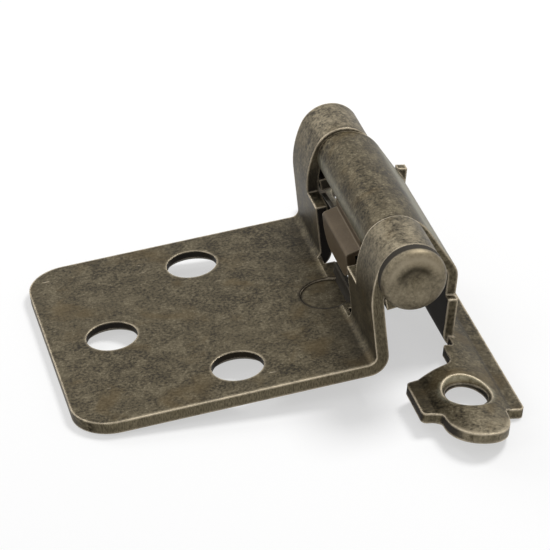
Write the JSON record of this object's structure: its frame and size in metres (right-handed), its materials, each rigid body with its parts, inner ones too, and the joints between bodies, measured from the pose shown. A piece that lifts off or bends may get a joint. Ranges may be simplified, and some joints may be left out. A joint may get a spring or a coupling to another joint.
{
  "type": "self-closing cabinet hinge",
  "caption": "Self-closing face-frame cabinet hinge: flat door leaf, pinned barrel, sprung closing block and a crowned wing with countersunk screw holes.",
  "frame": {"origin": "middle between the two door screw holes nearest the fold, on the door leaf's face against the door", "axes": "+X along the leaf towards the pin, +Y along the pin away from its head, +Z from the leaf to the side of the pin and the door"},
  "size_m": [0.0391, 0.0532, 0.0159],
  "materials": {
    "antique_brass": "antique brass, dark with worn edges",
    "nylon": "brown moulded nylon",
    "spring_steel": "bright spring strip"
  },
  "bodies": {
    "door_leaf": {"door_leaf": "antique_brass", "hinge_pin": "antique_brass", "closing_spring": "spring_steel"},
    "frame_leaf": {"frame_leaf": "antique_brass"},
    "closing_block": {"closing_block": "nylon"}
  },
  "joints": [
    {"name": "pin_hinge", "type": "hinge", "parent": "door_leaf", "child": "frame_leaf", "pos_m": [0.01575, 0, 0.0086], "axis": [0, -1, 0], "range_deg": [0, 120], "stiffness_Nm_per_rad": 0.004, "springref_deg": -85.94},
    {"name": "block_slide", "type": "slide", "parent": "door_leaf", "child": "closing_block", "axis": [-1, 0, 0], "range_m": [0, 0.00043982], "deforming": ["closing_spring"]}
  ],
  "couplings": [
    {"joint": "pin_hinge", "follows": "block_slide", "rad_per_m": 4761.9}
  ]
}
